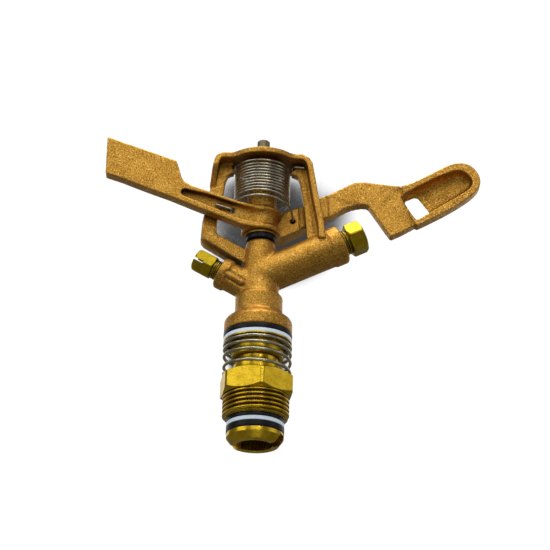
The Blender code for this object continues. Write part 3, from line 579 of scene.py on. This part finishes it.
def machined_brass(name, colours, stretch, rough=0.22, hollow_darkening=0.8, marks=0.02):
    """Turned or milled brass: fine tool marks along one way, dull spots, dark grooves and painted shade
    where other pieces stand close.
    """
    dark, light, grime_and_painted_shade = colours
    material, tree, shader = new_material(name)
    where = place(tree)
    lines = grain(tree, place(tree, stretch), 1.0, 3.0, 0.65)
    clouds = grain(tree, where, 3.0, 3.0, 0.6)
    spots = grain(tree, where, 0.8, 2.0, 0.6)
    colour = blend_colours(tree, fade(tree, clouds, 0.35, 0.65), dark, light)
    colour = blend_colours(tree, fade(tree, lines, 0.30, 0.70, 0.0, 0.35), colour, dark)
    edge = put(tree, "NewGeometry").outputs["Pointiness"]
    colour = blend_colours(tree, fade(tree, edge, 0.52, 0.60, 0.0, 0.6), colour, BRASS_RUBBED)
    # Darker in grooves and corners of the piece itself, by occlusion within 1.3 mm; its strength is given
    # as an argument.
    hollow = maths(tree, "MULTIPLY", fade(tree, crevices(tree, 1.3), 0.9, 0.35), hollow_darkening)
    colour = blend_colours(tree, hollow, colour, grime_and_painted_shade)
    # Painted shade: occlusion within 4 mm, counting neighbouring pieces, darkens the brass towards the
    # grime colour where other pieces stand close.
    shade = crevices(tree, 4.0, False)
    colour = blend_colours(tree, fade(tree, shade, 0.62, 0.25, 0.0, 0.75), colour, grime_and_painted_shade)
    colour = blend_colours(tree, fade(tree, spots, 0.68, 0.78, 0.0, 0.5), colour, grime_and_painted_shade)
    roughness = fade(tree, lines, 0.25, 0.75, rough, rough + 0.14)
    roughness = maths(tree, "ADD", roughness, fade(tree, spots, 0.55, 0.75, 0.0, 0.15))
    normal = bumped(tree, lines, marks, 0.6)
    connect(tree, shader, Base_Color=colour, Roughness=roughness, Normal=normal, Metallic=1.0)
    return material


def steel(name, colour, stretch, rough, marks):
    """Drawn or ground steel with fine marks along one way, faint brown staining and painted shade in
    gaps.
    """
    material, tree, shader = new_material(name)
    lines = grain(tree, place(tree, stretch), 1.0, 3.0, 0.7)
    clouds = grain(tree, place(tree), 2.2, 3.0, 0.6)
    dark = tuple(0.45 * value for value in colour)
    tone = blend_colours(tree, fade(tree, lines, 0.3, 0.7), dark, colour)
    tone = blend_colours(tree, fade(tree, clouds, 0.55, 0.75, 0.0, 0.4), tone, STEEL_STAIN)
    # Painted shade: occlusion within 1.6 mm, counting neighbouring pieces, darkens the steel between
    # coils and where other pieces stand close.
    shade = fade(tree, crevices(tree, 1.6, False), 0.75, 0.3, 0.0, 0.85)
    tone = blend_colours(tree, shade, tone, STEEL_SHADE)
    roughness = fade(tree, lines, 0.25, 0.75, rough + 0.12, rough)
    normal = bumped(tree, lines, marks, 0.7)
    connect(tree, shader, Base_Color=tone, Roughness=roughness, Normal=normal, Metallic=1.0)
    return material


def moulded(name, dark, light, rough, gloss, height):
    """Rubber or PTFE: a soft surface with slight mottling and a faint texture."""
    material, tree, shader = new_material(name)
    where = place(tree)
    clouds = grain(tree, where, 2.5, 3.0, 0.6)
    fine = grain(tree, where, 0.3, 3.0, 0.6)
    colour = blend_colours(tree, fade(tree, clouds, 0.35, 0.65), dark, light)
    roughness = fade(tree, fine, 0.3, 0.7, rough - 0.06, rough + 0.08)
    normal = bumped(tree, fine, height, 0.5)
    connect(tree, shader, Base_Color=colour, Roughness=roughness, Normal=normal, Metallic=0.0)
    shader.inputs["Specular IOR Level"].default_value = gloss
    return material


# Colours of cast bronze: two tones, pits, flecks, rubbed edges, hollows, painted shade in corners,
# painted shade in narrow grooves.
BRONZE_DARK = (0.50, 0.240, 0.028)
BRONZE_LIGHT = (0.62, 0.313, 0.043)
BRONZE_PIT = (0.13, 0.056, 0.010)
BRONZE_FLECK = (0.97, 0.61, 0.16)
BRONZE_RUBBED = (0.80, 0.50, 0.15)
BRONZE_HOLLOW = (0.14, 0.065, 0.022)
BRONZE_SHADE = (0.07, 0.029, 0.007)
BRONZE_GROOVE_SHADE = (0.05, 0.020, 0.006)

# Colours of turned brass as (dark, light, grime and painted shade), of worn edges, of steel's staining
# and its painted shade, and the painted glow of white washers with its strength.
BRASS = ((0.58, 0.37, 0.016), (0.76, 0.52, 0.034), (0.13, 0.065, 0.006))
DULL_BRASS = ((0.30, 0.17, 0.025), (0.44, 0.27, 0.045), (0.08, 0.04, 0.008))
OLIVE_BRASS = ((0.40, 0.27, 0.010), (0.56, 0.40, 0.020), (0.09, 0.050, 0.005))
BRASS_RUBBED = (0.95, 0.78, 0.25)
STEEL_STAIN = (0.20, 0.13, 0.07)
STEEL_SHADE = (0.02, 0.016, 0.014)
PTFE_GLOW = (0.70, 0.85, 1.0)
PTFE_GLOW_STRENGTH = 0.20


# Pieces


def inlet_nipple():
    low, high = extent("inlet_nipple")
    bottom, top = low.z, high.z
    bore = TUBE_R + 0.3
    root = THREAD_R - THREAD_DEPTH
    rows = np.linspace(bottom + 0.25, -0.25, 124)
    slope = 0.58

    def column(turn):
        side = hex_radius(turn, HEX_FLATS, HEX_CORNER_R, HEX_TURN)
        start = HEX_FLATS / 2.0 - 0.3
        rise = 0.05 + (side - start) * slope
        body = [
            (root, 0.0),
            (start, 0.02),
            (side, rise),
            (side, HEX_HEIGHT - rise),
            (start, HEX_HEIGHT),
            (SLEEVE_R, HEX_HEIGHT),
            (SLEEVE_R, top - 0.3),
            (SLEEVE_R - 0.3, top),
            (bore, top),
            (bore, bottom),
            (root - 0.3, bottom),
        ]
        thread = []
        for height in rows:
            radius = thread_radius(turn, height, THREAD_R, THREAD_DEPTH, THREAD_PITCH)
            lead_in = root - 0.3 + (height - bottom) * 1.3
            thread.append((min(radius, lead_in), height))
        return softened(body) + thread

    item = turned("inlet_nipple_turned", column, hex_turns(HEX_FLATS, HEX_CORNER_R, HEX_TURN))
    brass = machined_brass("nipple_brass", BRASS, (0.5, 0.5, 5.0))
    return on_body(item, "inlet_nipple", brass)


def bearing_tube():
    low, high = extent("bearing_tube")
    bottom, top = low.z, high.z
    flange = high.x
    outline = [
        (TUBE_BORE_R, bottom + 0.5),
        (TUBE_BORE_R + 0.5, bottom),
        (TUBE_R - 0.45, bottom),
        (TUBE_R + 0.9, bottom + 0.4),
        (flange, bottom + 2.9),
        (flange, FLANGE_TOP),
        (TUBE_R, FLANGE_TOP),
        (TUBE_R, top),
        (TUBE_BORE_R, top),
    ]
    item = turned("bearing_tube_turned", softened(outline))
    half = TUBE_SLOT_WIDTH / 2.0
    tool = block("slot", (-14.0, -half, bottom - 2.0), (14.0, half, bottom + TUBE_SLOT_DEPTH))
    tool.data.transform(Matrix.Rotation(math.radians(TUBE_SLOT_TURN), 4, "Z"))
    cut(item, tool)
    brass = machined_brass("tube_brass", BRASS, (0.4, 0.4, 6.0), 0.2, 0.7)
    return on_body(item, "bearing_tube", brass, 34.0)


def washer(node, inner, outer, bottom, top, material, edge):
    outline = [(inner, bottom), (outer, bottom), (outer, top), (inner, top)]
    item = turned(node + "_disc", softened(outline, edge))
    return on_body(item, node, material)


def washers():
    """Stacks of washers above and below the inlet, drawn as closely as they touch."""
    inside = TUBE_R + 0.05
    rubber = moulded("washer_rubber", (0.006, 0.006, 0.008), (0.012, 0.012, 0.015), 0.38, 0.22, 0.02)
    ptfe = moulded("washer_ptfe", (0.76, 0.87, 0.98), (0.84, 0.93, 1.0), 0.38, 0.6, 0.01)
    # Painted light: the white washers glow faintly bluish, though they are no lamp.
    lit = ptfe.node_tree.nodes["Principled BSDF"].inputs
    lit["Emission Color"].default_value = (*PTFE_GLOW, 1.0)
    lit["Emission Strength"].default_value = PTFE_GLOW_STRENGTH
    thrust_top = extent("thrust_washer")[1].z
    skirt = extent("body")[0].z
    white_high = extent("upper_ptfe_washer")[1]
    black_high = extent("upper_rubber_washer")[1]
    split = white_high.z + 0.1
    washer("upper_ptfe_washer", inside, white_high.x, thrust_top + 0.06, split, ptfe, 0.15)
    washer("upper_rubber_washer", inside, black_high.x, split + 0.02, skirt - 0.03, rubber, 0.35)
    nipple_end = extent("inlet_nipple")[0].z
    low, high = extent("lower_ptfe_washer")
    washer("lower_rubber_washer_top", inside, high.x, high.z + 0.12, nipple_end - 0.05, rubber, 0.35)
    washer("lower_ptfe_washer", inside, high.x, low.z - 0.12, high.z + 0.1, ptfe, 0.15)
    washer("lower_rubber_washer_bottom", inside, high.x, FLANGE_TOP + 0.02, low.z - 0.14, rubber, 0.35)
    pin_r = extent("pivot_pin")[1].x + 0.03
    neck = extent("hub_washer_rubber")[0].z - 0.3
    low, high = extent("hub_washer_brass")
    washer("hub_washer_rubber", pin_r, 6.0, neck + 0.1, low.z - 0.06, rubber, 0.4)
    brass = machined_brass("washer_brass", DULL_BRASS, (0.6, 0.6, 6.0), 0.38)
    washer("hub_washer_brass", pin_r, high.x, low.z - 0.04, high.z + 0.24, brass, 0.12)
    low, high = extent("top_washer")
    washer("top_washer", pin_r, high.x, low.z - 0.24, high.z + 0.24, rubber, 0.25)


def thrust_washer():
    low, high = extent("thrust_washer")
    inside = TUBE_R + 0.2
    flange = high.z - 0.55
    sleeve = 10.3
    outline = [
        (inside, low.z),
        (sleeve - 0.4, low.z),
        (sleeve, low.z + 0.4),
        (sleeve, flange),
        (high.x, flange),
        (high.x, high.z + 0.04),
        (inside, high.z + 0.04),
    ]
    brass = machined_brass("thrust_brass", BRASS, (0.5, 0.5, 5.0), 0.26)
    return on_body(turned("thrust_washer_turned", softened(outline)), "thrust_washer", brass)


def range_nozzle():
    """Hexagonal nozzle with a countersunk orifice on a threaded neck."""
    flats, low, high, turn_start = RANGE_HEX
    corner = flats / math.sqrt(3.0) - 0.18
    neck = 5.2
    rows = np.linspace(RANGE_COLLAR_TOP - 8.0, low - 0.55, 90)

    def column(turn):
        side = hex_radius(turn, flats, corner, turn_start)
        start = flats / 2.0 - 0.15
        rise = 0.05 + (side - start) * 0.75
        body = [
            (neck - 0.55, low - 0.5),
            (neck - 0.55, low),
            (start, low),
            (side, low + rise),
            (side, high - rise),
            (start, high),
            (3.5, high),
            (2.2, high - 1.2),
            (2.3, low),
            (3.0, RANGE_COLLAR_TOP - 8.0),
            (neck - 0.6, RANGE_COLLAR_TOP - 8.0),
        ]
        thread = [(thread_radius(turn, height, neck, 0.5, 0.9), height) for height in rows]
        return softened(body, 0.14) + thread

    item = turned("range_nozzle_turned", column, hex_turns(flats, corner, turn_start))
    brass = machined_brass("range_nozzle_brass", OLIVE_BRASS, (4.0, 4.0, 0.5), 0.28, 0.45, 0.02)
    return on_body(lay_along(item, RANGE_TUBE), "range_nozzle", brass)


def spreader_nozzle():
    """Smaller hexagonal nozzle with a screwdriver slot across its mouth."""
    flats, low, high, turn_start = SPREAD_HEX
    corner = flats / math.sqrt(3.0) - 0.12
    neck = 4.1
    rows = np.linspace(SPREAD_COLLAR_TOP - 6.0, low - 0.5, 80)

    def column(turn):
        side = hex_radius(turn, flats, corner, turn_start)
        start = flats / 2.0 - 0.3
        near = 0.05 + (side - start) * 0.5
        far = 0.1 + (side - start) * 1.2
        body = [
            (neck - 0.45, low - 0.45),
            (neck - 0.45, low),
            (start, low),
            (side, low + near),
            (side, high - far),
            (start - 0.1, high),
            (3.2, high),
            (2.6, high - 0.6),
            (2.6, SPREAD_COLLAR_TOP - 6.0),
            (neck - 0.5, SPREAD_COLLAR_TOP - 6.0),
        ]
        thread = [(thread_radius(turn, height, neck, 0.42, 0.8), height) for height in rows]
        return softened(body, 0.12) + thread

    item = turned("spreader_nozzle_turned", column, hex_turns(flats, corner, turn_start))
    start, width = SPREAD_SLOT
    tool = block("slot", (-9.0, -0.5 * width, start), (9.0, 0.5 * width, high + 2.0))
    tool.data.transform(Matrix.Rotation(math.radians(turn_start), 4, "Z"))
    cut(item, tool)
    brass = machined_brass("spreader_nozzle_brass", OLIVE_BRASS, (4.0, 4.0, 0.5), 0.26, 0.45, 0.02)
    return on_body(lay_along(item, SPREAD_TUBE), "spreader_nozzle", brass, 34.0)


def pivot_pin():
    low, high = extent("pivot_pin")
    radius = high.x
    outline = [
        (0.0, low.z),
        (radius - 0.4, low.z),
        (radius, low.z + 0.4),
        (radius, high.z - 0.55),
        (radius - 0.5, high.z - 0.05),
        (0.0, high.z),
    ]
    metal = steel("pin_steel", (0.33, 0.27, 0.17), (4.5, 4.5, 0.35), 0.34, 0.03)
    return on_body(turned("pivot_pin_turned", softened(outline, 0.1), even_turns(96)), "pivot_pin", metal)


def bush(node):
    low, high = extent(node)
    inner = extent("pivot_pin")[1].x + 0.15
    outline = [(inner, low.z), (high.x, low.z), (high.x, high.z), (inner, high.z)]
    brass = machined_brass(node + "_brass", BRASS, (0.6, 0.6, 6.0), 0.3)
    return on_body(turned(node + "_turned", softened(outline), even_turns(96)), node, brass)


def bearing_spring():
    """Left-hand coil: open at the bottom and closed under the thrust washer."""
    low, high = extent("bearing_spring")
    radius = high.x - BEARING_WIRE_R + 0.02
    top = high.z - 0.62
    bottom = low.z + 0.62
    knots = [(-0.75, top), (0.0, top - 0.12), *BEARING_COIL_LEVELS, (3.75, bottom)]
    heights = smooth_path([(turn, height, 0.0) for turn, height in knots], 20)
    turns = np.array([point[0] for point in heights])
    levels = np.array([point[1] for point in heights])
    path = []
    for turn in np.linspace(knots[0][0], knots[-1][0], 220):
        angle = math.radians(270.0) + 2.0 * math.pi * turn
        height = float(np.interp(turn, turns, levels))
        path.append((radius * math.cos(angle), radius * math.sin(angle), height))
    item = wire("bearing_spring_wire", path, BEARING_WIRE_R, 16)
    metal = steel("bearing_spring_steel", (0.66, 0.61, 0.43), (0.6, 0.6, 3.5), 0.24, 0.015)
    on_body(item, "bearing_spring", metal, 80.0)
    height = high.z - low.z
    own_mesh(item)
    return item


def arm_spring_path():
    """Wire threaded through the frame, close-wound left-hand, then threaded through the arm."""
    hook = 100.4
    start = [
        (17.1, -2.75, 100.2),
        (14.6, -2.75, 100.3),
        (12.9, -2.5, hook),
        (12.4, -1.2, hook),
        (12.4, 1.4, hook),
        (11.9, 3.1, hook + 0.4),
        (9.6, 4.2, 100.95),
        (7.2, 5.4, 101.0),
    ]
    for turn in (55.0, 75.0, 95.0, 115.0, 135.0, 150.0):
        angle = math.radians(turn)
        start.append((8.65 * math.cos(angle), 8.65 * math.sin(angle), 101.0))
    start += [
        (-10.0, 3.3, 100.9),
        (-11.3, 2.1, hook + 0.1),
        (-11.6, 0.5, hook),
        (-11.55, -1.6, hook),
        (-10.8, -3.3, 100.2),
    ]
    first = 212.0
    last = 360.0 * ARM_COIL_TURNS + 270.0
    coil = []
    for turn in np.arange(first, last, 7.5):
        angle = math.radians(turn)
        wound = (turn - 270.0) / 360.0
        height = ARM_COIL_TOP - ARM_COIL_PITCH * wound - ARM_COIL_GAP * min(max(wound, 0.0), 1.0)
        coil.append((ARM_COIL_R * math.cos(angle), ARM_COIL_R * math.sin(angle), height))
    floor = coil[-1][2]
    for turn in np.arange(7.5, 368.0, 7.5):
        angle = math.radians(270.0 + turn)
        fall = min(turn / 90.0, 1.0)
        drop = 1.2 * fall * fall * (3.0 - 2.0 * fall) + ARM_COIL_PITCH * turn / 360.0
        coil.append((ARM_COIL_R * math.cos(angle), ARM_COIL_R * math.sin(angle), floor - drop))
    lowest = coil[-1][2]
    hole_x, hole_z = 12.8, 78.5
    end = [
        (5.6, -9.4, lowest - 0.3),
        (9.0, -6.2, lowest - 0.8),
        (11.0, -3.2, lowest - 1.4),
        (12.0, -1.0, hole_z + 2.4),
        (12.6, 0.5, hole_z + 1.1),
        (hole_x, 1.6, hole_z + 0.3),
        (hole_x, 2.6, hole_z),
        (hole_x, 5.0, hole_z),
        (hole_x, 11.4, hole_z),
        (hole_x - 0.5, 12.6, hole_z),
        (9.0, 13.0, hole_z),
        (0.0, 12.6, hole_z),
        (-7.5, 10.2, hole_z),
        (-10.9, 5.6, hole_z),
        (-11.7, 0.0, hole_z + 0.2),
        (-11.7, -4.6, hole_z + 0.2),
        (-12.1, -6.0, hole_z + 0.3),
        (-13.2, -6.4, hole_z + 0.6),
        (-18.7, -6.5, hole_z + 2.2),
    ]
    return smooth_path(start, 8)[:-1] + [np.array(p) for p in coil] + smooth_path(end, 8)


def arm_spring():
    """Return spring between the frame and the arm, drawn in a single shape."""
    item = wire("arm_spring_wire", arm_spring_path(), ARM_WIRE_R, 14)
    metal = steel("arm_spring_steel", (0.70, 0.65, 0.50), (0.6, 0.6, 3.5), 0.24, 0.012)
    stand_in(item, "arm_spring", metal, 80.0)
    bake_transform(item)
    return item


def shape_body(surface):
    """Fades out the short ribs of the frame and raises a plain bar on the spreader's tube."""
    x, y, z = surface.points.T
    rib = (x * y > 0.0) & (np.abs(y) > RIB_FOOT_Y) & (z > RIB_LOWEST) & (np.abs(x) > RIB_INNER_X)
    share = ((z - RIB_END) / RIB_FADE).clip(0.0, 1.0)
    share = share * share * (3.0 - 2.0 * share)
    depth = np.sign(y) * (RIB_FOOT_Y + (np.abs(y) - RIB_FOOT_Y) * share)
    surface.points[:, 1] = np.where(rib, depth, y)
    away = surface.away_from_line(*BAR_ENDS)
    rise = BAR_HEIGHT * ((BAR_HALF_WIDTH - away) / 0.35).clip(0.0, 1.0)
    rise -= BAR_HEIGHT * np.exp(-(((away - 1.6 * BAR_HALF_WIDTH) / 0.4) ** 2))
    rise *= y < BAR_BACK_Y
    surface.points += surface.normals * rise[:, None]
    surface.refresh()


def body_casting():
    soft = [((6.0, 0.0, 55.0), 15.0), ((-5.0, 0.0, 50.0), 11.0), ((0.0, 0.0, 104.0), 10.0)]
    soft += [((0.0, 0.0, 34.5), 15.0)]
    item = casting("body", "body_cast", 3.0, soft, shape=shape_body)
    return on_body(item, "body", cast_bronze("body_bronze", 0.0), 180.0)


def shape_arm(surface):
    """Marks the feet of the steps on the front of the blade with fine grooves."""
    facing = surface.normals[:, 1] < -0.6
    behind = surface.points[:, 1] > -1.5
    for start, end in STEP_LINES:
        away = surface.away_from_line(start, end)
        sink = STEP_GROOVE_DEPTH * (1.0 - away / STEP_GROOVE_HALF).clip(0.0, 1.0)
        surface.points[:, 1] += sink * facing * behind
    surface.refresh()


def arm_casting():
    soft = [((-4.0, -5.0, 76.0), 9.0), ((8.0, 6.0, 76.0), 7.0)]
    crisp = [((58.0, 2.0, 86.0), 16.0), ((24.0, 3.0, 83.0), 9.0)]
    item = casting("drive_arm", "drive_arm_cast", 11.0, soft, crisp, shape_arm)
    return on_body(item, "drive_arm", cast_bronze("drive_arm_bronze", 40.0), 180.0)


# Setting

# Brightness of the pale surfaces in the open and in full shade, and how far pieces shade them.
PALE_GAIN = 1.06
PALE_SHADE = 0.05
SHADE_REACH = 0.022
PALE_GAP = 0.0002
FLOOR_GAP = 0.0001
BACKDROP_HALF = 0.22
FLOOR_HALF = 0.30

# Shaded spots, in metres: ((x, z), full reach, end of reach) on the backdrop; reaches on the floor.
FRAME_SPOT = ((0.006, 0.086), 0.023, 0.036)
SPRING_SPOT = ((0.0, 0.022), 0.010, 0.014)
INLET_SPOT = (0.015, 0.030)

# Camera: place in metres, rise and roll in degrees, lens and sensor in millimetres.
CAMERA_PLACE = (0.006157, -0.775178, -0.286495)
CAMERA_RISE = 23.65
CAMERA_ROLL = 1.55
CAMERA_LENS = 137.39
CAMERA_SENSOR = 36.0

# Lights as (name, direction, distance, size, watts), and what they aim at, in metres.
LIGHT_TARGET = (0.012, 0.0, 0.045)
LIGHTS = (
    ("key", (0.02, -0.86, 0.50), 0.60, 0.42, 0.62),
    ("strip", (0.27, -0.87, 0.40), 0.62, 0.07, 0.14),
    ("low", (0.10, -0.70, -0.70), 0.60, 0.30, 0.11),
    ("left", (-0.75, -0.52, 0.38), 0.60, 0.36, 0.62),
    ("right", (0.90, -0.22, 0.42), 0.65, 0.40, 0.34),
    ("top", (-0.05, -0.15, 1.0), 0.55, 0.42, 2.30),
    ("back_left", (-0.60, 0.85, 0.40), 0.65, 0.45, 0.50),
    ("back_right", (0.65, 0.80, 0.25), 0.65, 0.40, 0.40),
)
WORLD_LEVEL = 0.16


def pale_plane(name, centre, across, along, half, spots):
    """Pale surface that only the camera sees, and only from its front; it fades out at its rim.

    It shades where pieces stand close to it, within spots of (place, full reach, end of reach).
    """
    across, along = Vector(across) * half, Vector(along) * half
    corners = [-across - along, across - along, across + along, along - across]
    mesh = bpy.data.meshes.new(name)
    mesh.from_pydata(corners, [], [(0, 1, 2, 3)])
    item = new_object(name, mesh)
    item.location = centre
    material, tree, shader = new_material(name + "_pale")
    tree.nodes.remove(shader)
    open_sky = put(tree, "AmbientOcclusion", {"Distance": SHADE_REACH}, samples=16).outputs["AO"]
    tone = fade(tree, open_sky, 0.34, 0.80, PALE_SHADE, PALE_GAIN)
    mottle = fade(tree, grain(tree, place(tree), 9.0), 0.3, 0.7, 0.94, 1.0)
    tone = maths(tree, "MULTIPLY", tone, mottle)
    where = put(tree, "TexCoord").outputs["Object"]
    shaded = 0.0
    for spot, near, far in spots:
        away = put(tree, "VectorMath", {0: where, 1: spot}, operation="DISTANCE").outputs["Value"]
        shaded = maths(tree, "MAXIMUM", fade(tree, away, near, far, 1.0, 0.0), shaded)
    gap = maths(tree, "SUBTRACT", tone, PALE_GAIN)
    tone = maths(tree, "ADD", maths(tree, "MULTIPLY", gap, shaded), PALE_GAIN)
    pale = put(tree, "Emission", {"Color": (1.0, 1.0, 1.0, 1.0), "Strength": tone})
    material.cycles.emission_sampling = "NONE"
    away = put(tree, "VectorMath", {0: where}, operation="LENGTH").outputs["Value"]
    gone = fade(tree, away, 0.55 * half, 0.95 * half)
    gone = maths(tree, "MAXIMUM", gone, put(tree, "NewGeometry").outputs["Backfacing"])
    clear = put(tree, "BsdfTransparent").outputs[0]
    mixed = put(tree, "MixShader", {0: gone, 1: pale.outputs[0], 2: clear})
    tree.links.new(mixed.outputs[0], tree.nodes["Material Output"].inputs["Surface"])
    mesh.materials.append(material)
    for ray in ("diffuse", "glossy", "transmission", "shadow", "volume_scatter"):
        setattr(item, "visible_" + ray, False)
    return item


def softbox(name, direction, distance, size, watts):
    """Square light of a size, standing off from the middle of the sprinkler along a direction."""
    lamp = bpy.data.lights.new(name, "AREA")
    lamp.shape = "SQUARE"
    lamp.size = size
    lamp.energy = watts
    item = bpy.data.objects.new(name, lamp)
    bpy.context.scene.collection.objects.link(item)
    way = Vector(direction).normalized()
    item.location = Vector(LIGHT_TARGET) + way * distance
    item.rotation_euler = way.to_track_quat("Z", "Y").to_euler()
    item.visible_camera = False
    return item


def world(level):
    """White to the camera, grey to everything else."""
    made = bpy.data.worlds.new("studio")
    made.use_nodes = True
    tree = made.node_tree
    bright = put(tree, "Background", {"Color": (1.0, 1.0, 1.0, 1.0), "Strength": 1.0})
    soft = tree.nodes["Background"]
    soft.inputs["Color"].default_value = (1.0, 0.99, 0.97, 1.0)
    soft.inputs["Strength"].default_value = level
    seen = put(tree, "LightPath").outputs["Is Camera Ray"]
    mixed = put(tree, "MixShader", {0: seen, 1: soft.outputs[0], 2: bright.outputs[0]})
    tree.links.new(mixed.outputs[0], tree.nodes["World Output"].inputs["Surface"])
    bpy.context.scene.world = made


def camera():
    """Camera below the inlet, looking up along the front of the sprinkler."""
    rise = math.radians(CAMERA_RISE)
    roll = math.radians(CAMERA_ROLL)
    forward = Vector((0.0, math.cos(rise), math.sin(rise)))
    level = Vector((1.0, 0.0, 0.0))
    upright = Vector((0.0, -math.sin(rise), math.cos(rise)))
    right = math.cos(roll) * level + math.sin(roll) * upright
    up = math.cos(roll) * upright - math.sin(roll) * level
    lens = bpy.data.cameras.new("camera")
    lens.lens = CAMERA_LENS
    lens.sensor_width = CAMERA_SENSOR
    item = bpy.data.objects.new("camera", lens)
    bpy.context.scene.collection.objects.link(item)
    matrix = Matrix((right, up, -forward)).transposed().to_4x4()
    matrix.translation = CAMERA_PLACE
    item.matrix_world = matrix
    bpy.context.scene.camera = item


def spot_on_backdrop(spot, behind):
    """A spot given as ((x, z), full reach, end of reach), measured from the backdrop's middle."""
    (x, z), near, far = spot
    return Vector((x, behind.y, z)) - behind, near, far


def setting():
    middle = 0.5 * (CAD_LOW + CAD_HIGH)
    behind = Vector((middle.x, CAD_HIGH.y + PALE_GAP, middle.z))
    spots = [spot_on_backdrop(spot, behind) for spot in (FRAME_SPOT, SPRING_SPOT)]
    pale_plane("backdrop", behind, (1, 0, 0), (0, 0, 1), BACKDROP_HALF, spots)
    under = Vector((middle.x, middle.y, CAD_LOW.z - FLOOR_GAP))
    inlet_spot = (Vector((0.0, 0.0, under.z)) - under, *INLET_SPOT)
    pale_plane("floor", under, (1, 0, 0), (0, 1, 0), FLOOR_HALF, (inlet_spot,))
    for light in LIGHTS:
        softbox(*light)
    world(WORLD_LEVEL)
    camera()
    bpy.context.scene.view_settings.view_transform = "Standard"


body_casting()
arm_casting()
inlet_nipple()
bearing_tube()
thrust_washer()
washers()
range_nozzle()
spreader_nozzle()
pivot_pin()
bush("arm_bush_lower")
bush("arm_bush_upper")
bearing_spring()
arm_spring()
setting()
